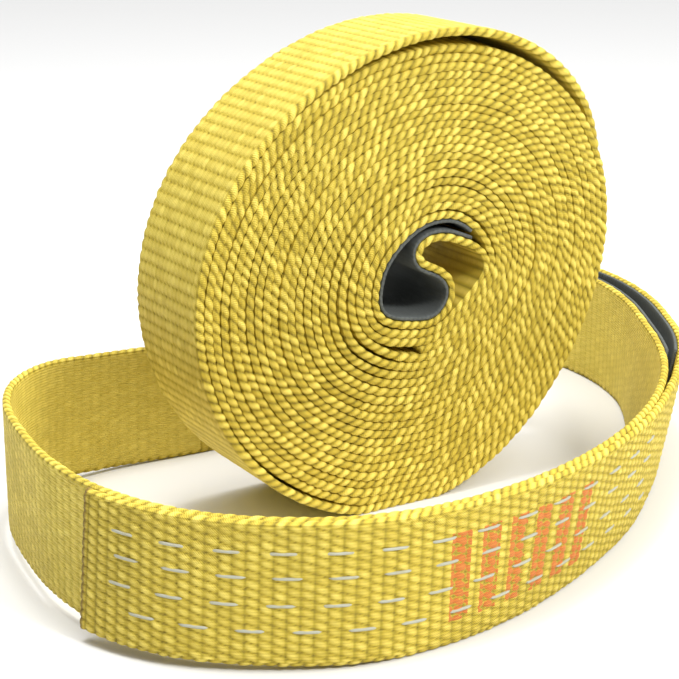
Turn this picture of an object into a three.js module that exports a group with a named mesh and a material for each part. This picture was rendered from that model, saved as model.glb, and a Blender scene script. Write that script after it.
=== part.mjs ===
// A two-inch tow strap with a sewn eye at each end, wound up like a wheel that stands on its tread.
// Its outer end stands on edge on the floor, in an open ring round the wheel.
// The webbing is one long ribbon: eye and lap in the core, the wound turns, a quarter twist behind
// the wheel, the ring, and the outer lap and eye. A black wear pad lines each eye.
// Units are millimetres and +Z is up. The origin is on the floor, where the wheel rests.

import * as THREE from "three";

// Driving dimensions of the webbing and its wear pads
const WEBBING_WIDTH = 50;
const WEBBING_THICKNESS = 3;
const LAYER_GAP = 0.4;
const PAD_WIDTH = 49;
const PAD_THICKNESS = 1.5;

// The wound wheel, whose face lies in the XZ plane. Its turns run clockwise from the core outwards.
const ROLL_CENTRE_HEIGHT = 92.6;
const ROLL_START_ANGLE = 4;
const TURN_STEP = 10;
const WOUND_TURNS = 20;
const INNER_LAP_TURNS = 1.25;
const LAP_END_CLOSING = 0.14;
const SLACK_KEPT_PER_TURN = 0.6;
const FLATTENING_POWER = 3;

// Before it peels off, the outermost turn drifts towards the wheel's back over this much of a turn.
const PEEL_DRIFT = 20;
const PEEL_DRIFT_TURN = 0.14;

// The wheel's outline, squeezed into an oval: a mean radius and waves of order 1, 2 and 3
const ROLL_OUTLINE = { mean: 95, cosines: [-0.2, 0.2, -0.9], sines: [-0.7, 5.3, 1.2] };

// The first layer's middle line round the inner eye, as radii at even angles from +X through +Z
const CORE_RADII = [
  32.5, 31.1, 28.1, 24.5, 20.9, 17.9, 16.3, 16.1, 16.8, 18.3, 20.9, 22.8, 21.9, 21, 22.3, 23.5,
  23.9, 27.3,
];

// Dark gaps under the outermost turn: the arc in degrees and the widest gap
const LOOSE_ARCS = [
  { from: 0, to: 140, gap: 4 },
  { from: 205, to: 262, gap: 1.2 },
];

// The inner eye's wall round its black pocket, as X and Z from the wheel's centre
const INNER_EYE_ROUTE = [
  [29.8, 5.9], [26, 8.6], [20.3, 11.1], [14.2, 13.3], [9.5, 13.9], [4.9, 13.3], [1.3, 11], [0.4, 7.6],
  [2.3, 4.6], [6.5, 2.5], [11.2, 0.2], [15, -3.5], [16.5, -7.7], [15.7, -12.4], [12.9, -16.5],
  [9.2, -19.1], [4.6, -20], [-1.5, -19.4], [-8.3, -18.2], [-13.8, -16.3], [-17.4, -13],
  [-19.1, -7.7], [-18.6, -2.7], [-17.1, 3.4], [-14, 8.8], [-7.8, 15.3], [-1.1, 19.7],
  [6.1, 22.1], [14, 22.3], [19.6, 20.8], [26.2, 16.5], [31.6, 10.6],
];
const INNER_EYE_STEP = 2.5;
const INNER_PAD_MARGIN = 3;

// The ring: the webbing's middle line on the floor from the peel to the outer eye's tip,
// as X, Y and the lift of its lower edge off the floor
const RING_ROUTE = [
  [94, 33, 43], [88, 47, 21], [71, 60, 6], [42, 67, 1], [0, 70, 0], [-47, 70, 0], [-90, 71, 1],
  [-117, 65, 3], [-136, 49, 4], [-150, 22, 5], [-157, -13, 5], [-159, -40, 5], [-155, -67, 4],
  [-143, -93, 3], [-124, -112, 2], [-96, -127, 1], [-66, -132.5, 0], [-30, -130.5, 0], [5, -121, 0],
  [40, -104.5, 0], [70, -84, 0], [98, -57, 0], [117, -31, 0], [132, -4, 0], [147, 26, 0],
  [156, 55, 0], [158, 82, 0], [153, 112, 0],
];
const RING_STEP = 9;
const TWIST_END_INDEX = 5;
const LAP_START_INDEX = 12;
const EYE_THROAT_INDEX = 20;
const EYE_OPEN_INDEX = 23;
const EYE_SPACING = 14;
const EYE_TIP_STEPS = 10;
const PAD_START_SPACING = 8.5;

const LAYER_SPACING = WEBBING_THICKNESS + LAYER_GAP;
const PAD_OFFSET = (WEBBING_THICKNESS + PAD_THICKNESS) / 2 + LAYER_GAP;
const FULL_TURN = 360;
const { degToRad, euclideanModulo, lerp, smoothstep } = THREE.MathUtils;
const UP = new THREE.Vector3(0, 0, 1);
const AXLE = new THREE.Vector3(0, 1, 0);

const webbingFinish = new THREE.MeshStandardMaterial({ color: 0xe8cf2a, roughness: 0.75 });
const padFinish = new THREE.MeshStandardMaterial({ color: 0x1d2124, roughness: 0.9 });

// A station is one cross-section of a ribbon: its centre, the direction across its width, and its
// thickness. The face normals are worked out later from the line of the stations.
function station(centre, across, thickness = WEBBING_THICKNESS) {
  return { centre, across, thickness };
}

// The outer surface of the wheel's last turn, before the floor flattens it
function outlineRadius(degrees) {
  const angle = degToRad(degrees);
  const { mean, cosines, sines } = ROLL_OUTLINE;
  return cosines.reduce((radius, cosine, index) => {
    const order = index + 1;
    return radius + cosine * Math.cos(order * angle) + sines[index] * Math.sin(order * angle);
  }, mean);
}

// A smooth closed line through CORE_RADII: between two radii it is a Catmull-Rom cubic.
function coreRadius(degrees) {
  const count = CORE_RADII.length;
  const place = euclideanModulo((degrees * count) / FULL_TURN, count);
  const index = Math.floor(place);
  const share = place - index;
  const [before, here, next, after] = [-1, 0, 1, 2].map(
    (offset) => CORE_RADII[euclideanModulo(index + offset, count)]);
  const slopeHere = (next - before) / 2;
  const slopeNext = (after - here) / 2;
  const cubic = 2 * (here - next) + slopeHere + slopeNext;
  const square = 3 * (next - here) - 2 * slopeHere - slopeNext;
  return ((cubic * share + square) * share + slopeHere) * share + here;
}

// Turns count from the eye's throat in the core; the last one ends at the peel.
const LAYERS_TO_EDGE = 1 + INNER_LAP_TURNS + WOUND_TURNS;

// How many layers lie under the main layer. The lap adds one layer below it for its own length.
// Behind the lap's end each turn closes in, and what slack is left shrinks from turn to turn.
function layersUnder(turn) {
  if (turn <= INNER_LAP_TURNS) return 1 + 2 * turn;
  const past = turn - INNER_LAP_TURNS;
  const share = past - Math.floor(past);
  const dip = smoothstep(share, 0, LAP_END_CLOSING) * (1 - share);
  return 1 + INNER_LAP_TURNS + turn - dip * SLACK_KEPT_PER_TURN ** Math.floor(past);
}

function looseGap(degrees) {
  const angle = euclideanModulo(degrees, FULL_TURN);
  return LOOSE_ARCS.reduce((gap, arc) => {
    if (angle <= arc.from || angle >= arc.to) return gap;
    return gap + arc.gap * Math.sin((Math.PI * (angle - arc.from)) / (arc.to - arc.from)) ** 2;
  }, 0);
}

// The distance between layers along the radius, where the turns leave this much gap at the edge
function layerPitch(degrees, gap) {
  const edge = outlineRadius(degrees) - WEBBING_THICKNESS / 2 - gap;
  return (edge - coreRadius(degrees)) / LAYERS_TO_EDGE;
}

// The floor presses the lowest turns flat: the outermost one fully, the ones inside it less.
function flattened(radius, degrees, outermost) {
  const down = -Math.sin(degToRad(degrees));
  const room = (ROLL_CENTRE_HEIGHT - WEBBING_THICKNESS / 2) / Math.max(down, 0.5);
  const depth = Math.max(0, outermost - room);
  return radius - depth * (radius / outermost) ** FLATTENING_POWER;
}

// The middle line's radius at a turn, with so many layers under it
function turnRadius(turn, layers) {
  const degrees = ROLL_START_ANGLE - turn * FULL_TURN;
  const gap = turn > WOUND_TURNS - 1 ? 0 : looseGap(degrees);
  const turnsLeft = euclideanModulo(-turn, 1);
  const core = coreRadius(degrees);
  const outermost = core + layerPitch(degrees, 0) * (LAYERS_TO_EDGE - turnsLeft);
  return flattened(core + layerPitch(degrees, gap) * layers, degrees, outermost);
}

// The wound webbing is pressed to what its neighbours leave it, less where it runs askew.
function woundThickness(turn, layers) {
  const radius = turnRadius(turn, layers);
  const arc = degToRad(TURN_STEP);
  const ahead = turnRadius(turn + TURN_STEP / FULL_TURN, layers);
  const squareOn = Math.cos(Math.atan((ahead - radius) / (radius * arc)));
  const degrees = ROLL_START_ANGLE - turn * FULL_TURN;
  const pitch = layerPitch(degrees, looseGap(degrees));
  return Math.min(WEBBING_THICKNESS, pitch * squareOn - LAYER_GAP);
}

function turnStation(turn, layers) {
  const angle = degToRad(ROLL_START_ANGLE - turn * FULL_TURN);
  const radius = turnRadius(turn, layers);
  const drifted = Math.max(0, (turn - WOUND_TURNS) / PEEL_DRIFT_TURN + 1);
  const centre = new THREE.Vector3(
    radius * Math.cos(angle),
    PEEL_DRIFT * drifted ** 2,
    ROLL_CENTRE_HEIGHT + radius * Math.sin(angle),
  );
  return station(centre, AXLE.clone(), woundThickness(turn, layers));
}

function stepsOf(turns) {
  return Math.round((turns * FULL_TURN) / TURN_STEP);
}

// The lap runs inwards from its cut end to the throat, on the inside of the main layer.
function innerLap() {
  const stations = [];
  for (let step = stepsOf(INNER_LAP_TURNS); step >= 0; step -= 1) {
    const turn = step / stepsOf(1);
    stations.push(turnStation(turn, 2 * turn));
  }
  return stations;
}

function woundTurns() {
  const stations = [];
  for (let step = 0; step <= stepsOf(WOUND_TURNS); step += 1) {
    const turn = step / stepsOf(1);
    stations.push(turnStation(turn, layersUnder(turn)));
  }
  return stations;
}

function evenPoints(curve, step) {
  return curve.getSpacedPoints(Math.round(curve.getLength() / step));
}

function innerEyePoints() {
  const points = INNER_EYE_ROUTE.map(([x, z]) => new THREE.Vector3(x, 0, ROLL_CENTRE_HEIGHT + z));
  return evenPoints(new THREE.CatmullRomCurve3(points, false, "centripetal"), INNER_EYE_STEP);
}

// The ring's stations, each with its own place along the route as an index into RING_ROUTE.
// On the way to the ring the webbing turns up on its edge, and no corner goes below the floor.
function ringStations(peel) {
  const points = RING_ROUTE.map(([x, y, lift]) => new THREE.Vector3(x, y, lift + WEBBING_WIDTH / 2));
  points.unshift(peel.centre);
  const curve = new THREE.CatmullRomCurve3(points, false, "centripetal");
  const count = Math.round(curve.getLength() / RING_STEP);
  const stations = [];
  for (let step = 1; step <= count; step += 1) {
    const share = curve.getUtoTmapping(step / count);
    const index = share * (points.length - 1) - 1;
    const centre = curve.getPoint(share);
    const upright = smoothstep(index, -1, TWIST_END_INDEX);
    const across = AXLE.clone().lerp(UP, upright).normalize();
    const lean = Math.sqrt(1 - across.z ** 2);
    centre.z = Math.max(centre.z, (WEBBING_WIDTH * across.z + WEBBING_THICKNESS * lean) / 2);
    stations.push({ ...station(centre, across), index });
  }
  return stations;
}

// The square frame of a ribbon at a station: the way it runs, its width, and its outward normal
function frameAt(stations, index) {
  const before = stations[Math.max(index - 1, 0)].centre;
  const after = stations[Math.min(index + 1, stations.length - 1)].centre;
  const along = after.clone().sub(before).normalize();
  const { across } = stations[index];
  const side = across.clone().addScaledVector(along, -across.dot(along)).normalize();
  return { side, normal: along.cross(side) };
}

function shifted(stations, distanceAt) {
  return stations.map((item, index) => ({
    ...item,
    centre: item.centre.clone().addScaledVector(frameAt(stations, index).normal, distanceAt(item)),
  }));
}

// Half a circle from the end of one layer to the start of the next, round the eye's tip
function tipBend(from, towards, forward, thickness) {
  const middle = from.clone().add(towards).multiplyScalar(0.5);
  const arm = from.clone().sub(middle);
  const reach = forward.clone().setLength(arm.length());
  const stations = [];
  for (let step = 1; step < EYE_TIP_STEPS; step += 1) {
    const angle = (Math.PI * step) / EYE_TIP_STEPS;
    const centre = middle.clone()
      .addScaledVector(arm, Math.cos(angle))
      .addScaledVector(reach, Math.sin(angle));
    stations.push(station(centre, UP.clone(), thickness));
  }
  return stations;
}

// The second layer lies against the ring's outer side as a lap, and stands off it along the eye.
function eyeSpacing({ index }) {
  return lerp(LAYER_SPACING, EYE_SPACING, smoothstep(index, EYE_THROAT_INDEX, EYE_OPEN_INDEX));
}

function doubledBack(stations, inset, thickness) {
  const near = shifted(stations, () => inset);
  const far = shifted(stations, (item) => eyeSpacing(item) - inset).reverse();
  const last = stations.length - 1;
  const forward = stations[last].centre.clone().sub(stations[last - 1].centre);
  const bend = tipBend(near[last].centre, far[0].centre, forward, thickness);
  return [...near, ...bend, ...far].map((item) => ({ ...item, thickness }));
}

// One closed body: the four corners of every station, joined by quads, with a cap at each end
function ribbon(stations, width) {
  const corners = [];
  stations.forEach((item, index) => {
    const { side, normal } = frameAt(stations, index);
    for (const [sideSign, normalSign] of [[1, 1], [1, -1], [-1, -1], [-1, 1]]) {
      const corner = item.centre.clone().addScaledVector(side, (sideSign * width) / 2);
      corner.addScaledVector(normal, (normalSign * item.thickness) / 2);
      corners.push(...corner.toArray());
    }
  });
  const faces = [0, 1, 2, 0, 2, 3];
  for (let ring = 0; ring < stations.length - 1; ring += 1) {
    for (let corner = 0; corner < 4; corner += 1) {
      const here = ring * 4 + corner;
      const beside = ring * 4 + ((corner + 1) % 4);
      faces.push(here, here + 4, beside, beside, here + 4, beside + 4);
    }
  }
  const end = (stations.length - 1) * 4;
  faces.push(end, end + 2, end + 1, end, end + 3, end + 2);
  const geometry = new THREE.BufferGeometry();
  geometry.setAttribute("position", new THREE.Float32BufferAttribute(corners, 3));
  geometry.setIndex(faces);
  return geometry;
}

function buildWebbing(turns, eye, ring) {
  const eyeWall = eye.map((centre) => station(centre, AXLE.clone()));
  const body = ring.filter(({ index }) => index < LAP_START_INDEX);
  const lapAndEye = ring.filter(({ index }) => index >= LAP_START_INDEX);
  const stations = [
    ...innerLap(), ...eyeWall, ...turns, ...body, ...doubledBack(lapAndEye, 0, WEBBING_THICKNESS),
  ];
  const mesh = new THREE.Mesh(ribbon(stations, WEBBING_WIDTH), webbingFinish);
  mesh.name = "webbing";
  return mesh;
}

// The pad follows the inside of the eye's wall, which is against its normal.
function buildInnerPad(eye) {
  const wall = eye.map((centre) => station(centre, AXLE.clone(), PAD_THICKNESS));
  const lined = shifted(wall, () => -PAD_OFFSET).slice(INNER_PAD_MARGIN, -INNER_PAD_MARGIN);
  const mesh = new THREE.Mesh(ribbon(lined, PAD_WIDTH), padFinish);
  mesh.name = "inner_eye_pad";
  return mesh;
}

function buildOuterPad(ring) {
  const open = ring.filter((item) => eyeSpacing(item) >= PAD_START_SPACING);
  const lined = doubledBack(open, PAD_OFFSET, PAD_THICKNESS);
  const mesh = new THREE.Mesh(ribbon(lined, PAD_WIDTH), padFinish);
  mesh.name = "outer_eye_pad";
  return mesh;
}

const turns = woundTurns();
const innerEye = innerEyePoints();
const ring = ringStations(turns[turns.length - 1]);

const towStrap = new THREE.Group();
towStrap.add(buildWebbing(turns, innerEye, ring), buildInnerPad(innerEye), buildOuterPad(ring));

export default towStrap;
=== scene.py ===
"""A yellow tow strap, wound into a roll that stands in a ring of its own free end.

The webbing is one long ribbon. Its middle line is worked out here as the part's source works it
out: the inner lap and eye in the core, the wound turns, the quarter twist behind the roll, the
ring on the floor, and the outer lap and eye. A woven section with real yarns at its edges is then
carried along that line. Lengths are in millimetres until a mesh is made.
"""

from __future__ import annotations

import logging
import math
from dataclasses import dataclass
from enum import Enum

import bpy
import numpy as np
from mathutils import Matrix, Vector

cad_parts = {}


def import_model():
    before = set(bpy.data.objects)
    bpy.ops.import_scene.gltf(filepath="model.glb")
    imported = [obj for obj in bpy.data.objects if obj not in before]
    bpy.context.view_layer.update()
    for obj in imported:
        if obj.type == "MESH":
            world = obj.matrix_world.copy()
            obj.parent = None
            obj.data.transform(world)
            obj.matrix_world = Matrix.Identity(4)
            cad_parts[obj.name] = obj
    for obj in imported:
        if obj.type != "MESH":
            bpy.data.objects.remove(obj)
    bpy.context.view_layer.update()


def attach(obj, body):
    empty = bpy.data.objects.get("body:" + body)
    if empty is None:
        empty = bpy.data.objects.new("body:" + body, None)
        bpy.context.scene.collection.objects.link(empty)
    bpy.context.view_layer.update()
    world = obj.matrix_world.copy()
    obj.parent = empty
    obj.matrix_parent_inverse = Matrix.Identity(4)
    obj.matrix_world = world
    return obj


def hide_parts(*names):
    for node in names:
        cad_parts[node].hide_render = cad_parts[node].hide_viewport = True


LOG = logging.getLogger("tow_strap")
METRES = 0.001
BODY = "root"

Array = np.ndarray


class Face(Enum):
    """The parts of a strap's section, going round it."""

    OUTER = 0
    FAR_EDGE = 1
    INNER = 2
    NEAR_EDGE = 3


class Slot(Enum):
    """The record's material slots."""

    WEBBING = "webbing"
    PAD = "wear_pad"


# Curves and lines


def hashed(cells: Array, seed: float = 0.0) -> Array:
    """A repeatable number from 0 to 1 for each whole number in cells.

    Args:
        cells: whole numbers, as floats.
        seed: picks another row of numbers.

    Returns:
        The fraction left of a large sine, which is spread evenly.
    """
    return np.modf(np.abs(np.sin(cells * 12.9898 + seed * 78.233 + 1.0)) * 43758.5453)[0]


def smooth(value: Array, low: float, high: float) -> Array:
    """A step that rises from 0 at low to 1 at high as 3t^2 - 2t^3."""
    t = np.clip((value - low) / (high - low), 0.0, 1.0)
    return t * t * (3 - 2 * t)


def rounded(phase: Array) -> Array:
    """A row of half-round bumps, one for each whole step of phase, with a crease between them."""
    t = 2 * np.abs(phase - np.round(phase))
    return np.sqrt(np.maximum(0.0, 1 - t * t))


def unit(vectors: Array) -> Array:
    """Each row of vectors scaled to length 1."""
    return vectors / np.maximum(np.linalg.norm(vectors, axis=-1, keepdims=True), 1e-12)


def blurred(values: Array, sigma: float) -> Array:
    """Values averaged along their first axis with a bell curve sigma samples wide."""
    reach = int(math.ceil(3 * sigma))
    taps = np.exp(-0.5 * (np.arange(-reach, reach + 1) / sigma) ** 2)
    taps /= taps.sum()
    padded = np.concatenate([np.repeat(values[:1], reach, 0), values, np.repeat(values[-1:], reach, 0)])
    return np.stack([np.convolve(column, taps, "valid") for column in padded.T], 1)


def interpolated(places: Array, reach: Array, values: Array) -> Array:
    """Rows of values looked up at places along reach."""
    return np.stack([np.interp(places, reach, column) for column in values.T], -1)


def through_points(points: Array, per_span: int) -> tuple[Array, Array]:
    """A centripetal Catmull-Rom curve through points.

    Args:
        points: the points, one a row.
        per_span: samples between two points.

    Returns:
        The samples, and for each one its place as an index into points.
    """
    ends = np.stack([2 * points[0] - points[1], 2 * points[-1] - points[-2]])
    full = np.concatenate([ends[:1], points, ends[1:]])
    knots = np.sqrt(np.linalg.norm(np.diff(full, axis=0), axis=1))
    before, here, after = knots[:-2, None], knots[1:-1, None], knots[2:, None]
    a, b, c, d = full[:-3], full[1:-2], full[2:-1], full[3:]
    leave = (b - a) / before - (c - a) / (before + here) + (c - b) / here
    reach = (c - b) / here - (d - b) / (here + after) + (d - c) / after
    leave, reach = leave * here, reach * here
    t = (np.arange(per_span) / per_span)[None, :, None]
    cubic = 2 * (b - c) + leave + reach
    square = 3 * (c - b) - 2 * leave - reach
    spans = ((cubic[:, None] * t + square[:, None]) * t + leave[:, None]) * t + b[:, None]
    index = (np.arange(len(b))[:, None] + t[0, :, 0][None]).reshape(-1)
    samples = np.concatenate([spans.reshape(-1, points.shape[1]), points[-1:]])
    return samples, np.append(index, len(points) - 1)


@dataclass
class Line:
    """A ribbon's middle line: for each sample its centre, width direction and thickness."""

    centre: Array
    across: Array
    thickness: Array

    def __len__(self) -> int:
        """The number of samples."""
        return len(self.centre)

    def joined(self, *others: Line) -> Line:
        """This line with others after it."""
        lines = (self, *others)
        return Line(
            np.concatenate([line.centre for line in lines]),
            np.concatenate([line.across for line in lines]),
            np.concatenate([line.thickness for line in lines]),
        )

    def reach(self) -> Array:
        """The distance of each sample from the start, along the line."""
        steps = np.linalg.norm(np.diff(self.centre, axis=0), axis=1)
        return np.concatenate([[0.0], np.cumsum(steps)])

    def sampled(self, places: Array) -> Array:
        """A table of centre, width direction and thickness at places along the line."""
        table = np.column_stack([self.centre, self.across, self.thickness])
        return interpolated(places, self.reach(), table)

    @staticmethod
    def of_table(table: Array) -> Line:
        """The line that a table of centre, width direction and thickness stands for."""
        return Line(table[:, :3], unit(table[:, 3:6]), table[:, 6])

    def chosen(self, picked: Array) -> Line:
        """The samples that are picked."""
        return Line(self.centre[picked], self.across[picked], self.thickness[picked])

    def even(self, step: float, softness: float = 0.0) -> Line:
        """The line with its samples a step apart, smoothed over a length of softness."""
        length = self.reach()[-1]
        count = max(2, int(round(length / step)) + 1)
        table = self.sampled(np.linspace(0, length, count))
        if softness:
            ends = table[[0, -1]].copy()
            table = blurred(table, softness / step)
            table[[0, -1]] = ends
        return Line.of_table(table)

    def part(self, start: float, end: float, step: float) -> Line:
        """The stretch from start to end along the line, with samples a step apart."""
        return Line.of_table(self.sampled(np.append(np.arange(start, end - step / 2, step), end)))

    def frame(self) -> tuple[Array, Array]:
        """The width direction squared up to the line, and the outward normal, at each sample."""
        along = unit(np.gradient(self.centre, axis=0))
        side = unit(self.across - (self.across * along).sum(1, keepdims=True) * along)
        return side, np.cross(along, side)

    def shifted(self, distance: Array | float) -> Line:
        """The line moved along its outward normal."""
        normal = self.frame()[1]
        offset = np.broadcast_to(distance, (len(self),))[:, None]
        return Line(self.centre + normal * offset, self.across, self.thickness)

    def turned_round(self) -> Line:
        """The line from its end to its start."""
        return Line(self.centre[::-1], self.across[::-1], self.thickness[::-1])

    def thickened(self, thickness: float) -> Line:
        """The line with one thickness all along."""
        return Line(self.centre, self.across, np.full(len(self), thickness))


# The route of the webbing, with the sizes of the part's source

AXLE = np.array([0.0, 1.0, 0.0])
UP = np.array([0.0, 0.0, 1.0])


@dataclass
class StrapRoute:
    """The middle line of the whole strap, from the inner lap's cut end to the outer lap's."""

    width: float = 50.0
    thickness: float = 3.0
    layer_gap: float = 0.4
    pad_thickness: float = 1.5
    centre_height: float = 92.6
    start_angle: float = 4.0
    wound_turns: int = 20
    inner_lap_turns: float = 1.25
    lap_end_closing: float = 0.14
    slack_kept: float = 0.6
    flattening_power: int = 3
    peel_drift: float = 20.0
    peel_drift_turn: float = 0.14
    turn_samples: int = 360
    split_turn: int = 11
    under_opening: float = 0.9
    under_recess: float = 2.2
    face_waves: tuple = ((0.25, 9.7, 0.0), (0.3, 4.3, 1.0))
    face_depth: float = 0.35
    eye_spacing: float = 11.8
    twist_end: int = 5
    lap_start: int = 12
    eye_throat: int = 20
    eye_open: int = 23
    pad_start_spacing: float = 8.5
    inner_pad_margin: float = 7.5
    softness: float = 1.6
    lean: float = 0.18
    lean_rises: tuple = (14.8, 18.8)
    lean_falls: tuple = (21.5, 24.5)
    fullness: float = 0.3
    fine_step: float = 0.5
    eye_samples: int = 24
    ring_samples: int = 60
    bend_samples: int = 40

    outline_mean: float = 95.0
    outline_cosines: tuple = (-0.2, 0.2, -0.9)
    outline_sines: tuple = (-0.7, 5.3, 1.2)
    core_radii: tuple = (
        32.5, 31.1, 28.1, 24.5, 20.9, 17.9, 16.3, 16.1, 16.8, 18.3, 20.9, 22.8, 21.9, 21.0, 22.3,
        23.5, 23.9, 27.3,
    )
    loose_arcs: tuple = ((0.0, 140.0, 4.0), (205.0, 262.0, 1.2))
    inner_eye: tuple = (
        (29.8, 5.9), (26, 8.6), (20.3, 11.1), (14.2, 13.3), (9.5, 13.9), (4.9, 13.3), (1.3, 11),
        (0.4, 7.6), (2.3, 4.6), (6.5, 2.5), (11.2, 0.2), (15, -3.5), (16.5, -7.7), (15.7, -12.4),
        (12.9, -16.5), (9.2, -19.1), (4.6, -20), (-1.5, -19.4), (-8.3, -18.2), (-13.8, -16.3),
        (-17.4, -13), (-19.1, -7.7), (-18.6, -2.7), (-17.1, 3.4), (-14, 8.8), (-7.8, 15.3),
        (-1.1, 19.7), (6.1, 22.1), (14, 22.3), (19.6, 20.8), (26.2, 16.5), (31.6, 10.6),
    )
    ring: tuple = (
        (94, 33, 43), (88, 47, 21), (71, 60, 6), (42, 67, 1), (0, 70, 0), (-47, 70, 0),
        (-90, 71, 1), (-117, 65, 3), (-136, 49, 4), (-150, 22, 5), (-157, -13, 5), (-159, -40, 5),
        (-155, -67, 4), (-143, -93, 3), (-124, -112, 2), (-96, -127, 1), (-66, -132.5, 0),
        (-30, -130.5, 0), (5, -121, 0), (40, -104.5, 0), (70, -84, 0), (98, -57, 0),
        (117, -31, 0), (132, -4, 0), (147, 26, 0), (156, 55, 0), (158, 82, 0), (153, 112, 0),
    )

    def outline_radius(self, degrees: Array) -> Array:
        """The roll's outer surface: a mean radius with waves of order 1, 2 and 3."""
        angle = np.radians(degrees)
        radius = np.full_like(angle, self.outline_mean)
        for order, (cosine, sine) in enumerate(zip(self.outline_cosines, self.outline_sines), 1):
            radius += cosine * np.cos(order * angle) + sine * np.sin(order * angle)
        return radius

    def core_radius(self, degrees: Array) -> Array:
        """The first layer's middle line: a closed Catmull-Rom line through the core radii."""
        radii = np.array(self.core_radii)
        place = np.mod(degrees / 360 * len(radii), len(radii))
        index = np.floor(place).astype(int)
        share = place - index
        before, here, after, last = (radii[(index + k) % len(radii)] for k in (-1, 0, 1, 2))
        leave, reach = (after - before) / 2, (last - here) / 2
        cubic = 2 * (here - after) + leave + reach
        square = 3 * (after - here) - 2 * leave - reach
        return ((cubic * share + square) * share + leave) * share + here

    def loose_gap(self, degrees: Array) -> Array:
        """The dark gap under the outermost turn: a squared sine over each loose arc."""
        angle = np.mod(degrees, 360)
        gap = np.zeros_like(angle)
        for start, end, widest in self.loose_arcs:
            inside = (angle > start) & (angle < end)
            gap += inside * widest * np.sin(np.pi * (angle - start) / (end - start)) ** 2
        return gap

    def pitch(self, degrees: Array, gap: Array) -> Array:
        """The distance between layers along the radius, where the turns leave gap at the edge."""
        edge = self.outline_radius(degrees) - self.thickness / 2 - gap
        return (edge - self.core_radius(degrees)) / self.layers_to_edge

    @property
    def layers_to_edge(self) -> float:
        """How many layers lie between the core and the peel."""
        return 1 + self.inner_lap_turns + self.wound_turns

    def layers_under(self, turn: Array) -> Array:
        """Layers under the main one: two a turn over the lap, then one, less a fading dip."""
        past = turn - self.inner_lap_turns
        share = past - np.floor(past)
        dip = smooth(share, 0, self.lap_end_closing) * (1 - share)
        after = 1 + self.inner_lap_turns + turn - dip * self.slack_kept ** np.floor(past)
        return np.where(past <= 0, 1 + 2 * turn, after)

    def radius(self, turn: Array, layers: Array) -> Array:
        """The middle line's radius: core plus layers, pressed flat where the floor is."""
        degrees = self.start_angle - 360 * turn
        gap = np.where(turn > self.wound_turns - 1, 0.0, self.loose_gap(degrees))
        core = self.core_radius(degrees)
        left = np.mod(-turn, 1)
        outermost = core + self.pitch(degrees, 0.0) * (self.layers_to_edge - left)
        radius = core + self.pitch(degrees, gap) * layers
        down = -np.sin(np.radians(degrees))
        room = (self.centre_height - self.thickness / 2) / np.maximum(down, 0.5)
        depth = np.maximum(0.0, outermost - room)
        return radius - depth * (radius / outermost) ** self.flattening_power

    def wound(self, turn: Array, layers: Array) -> Line:
        """The line of wound turns, each as thick as its neighbours let it be."""
        degrees = self.start_angle - 360 * turn
        angle = np.radians(degrees)
        radius = self.radius(turn, layers)
        drifted = np.maximum(0.0, (turn - self.wound_turns) / self.peel_drift_turn + 1)
        centre = np.column_stack([
            radius * np.cos(angle),
            self.peel_drift * drifted**2,
            self.centre_height + radius * np.sin(angle),
        ])
        slope = np.gradient(radius) / np.maximum(np.abs(np.gradient(angle)) * radius, 1e-9)
        pitch = self.pitch(degrees, self.loose_gap(degrees)) * np.cos(np.arctan(slope))
        thickness = np.minimum(self.thickness + self.fullness, pitch + self.fullness / 2)
        outward = np.column_stack([np.cos(angle), np.zeros_like(angle), np.sin(angle)])
        flare = self.flare(turn)[:, None]
        across = unit(AXLE + outward * flare / self.width)
        centre += outward * flare / 2 + AXLE * self.recess(turn)[:, None]
        return Line(centre, across, thickness)

    def flare(self, turn: Array) -> Array:
        """How much farther out the back edge lies than the front edge, under the loose turn.

        The last turn but one opens towards the back until it meets the outermost turn, so that
        no light comes through the gap between them.
        """
        degrees = self.start_angle - 360 * turn
        last = self.wound_turns - 1
        under = smooth(turn, last - 1.1, last - 0.9) * (1 - smooth(turn, last - 0.1, last + 0.1))
        return self.under_opening * under * self.loose_gap(degrees)

    def recess(self, turn: Array) -> Array:
        """How far a turn lies behind the roll's face: unevenly, and most under the loose turn."""
        last = self.wound_turns - 1
        under = smooth(turn, last - 1.3, last - 1.0) * (1 - smooth(turn, last - 0.2, last))
        degrees = self.start_angle - 360 * turn
        widest = self.loose_arcs[0][2]
        loose = self.loose_gap(degrees) / widest
        uneven = sum(size * np.sin(turn * rate + phase) for size, rate, phase in self.face_waves)
        inside = smooth(turn, 0.5, 2.0) * (1 - smooth(turn, last - 0.2, last + 0.1))
        return self.under_recess * under * loose + inside * (uneven + self.face_depth)

    def eye_wall(self) -> Line:
        """The wall of the eye in the core, from the lap round its pocket to the first turn."""
        flat, _ = through_points(np.array(self.inner_eye, float), self.eye_samples)
        centre = np.column_stack([flat[:, 0], np.zeros(len(flat)), flat[:, 1] + self.centre_height])
        thickness = np.full(len(flat), self.thickness)
        return Line(centre, np.tile(AXLE, (len(flat), 1)), thickness)

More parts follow.
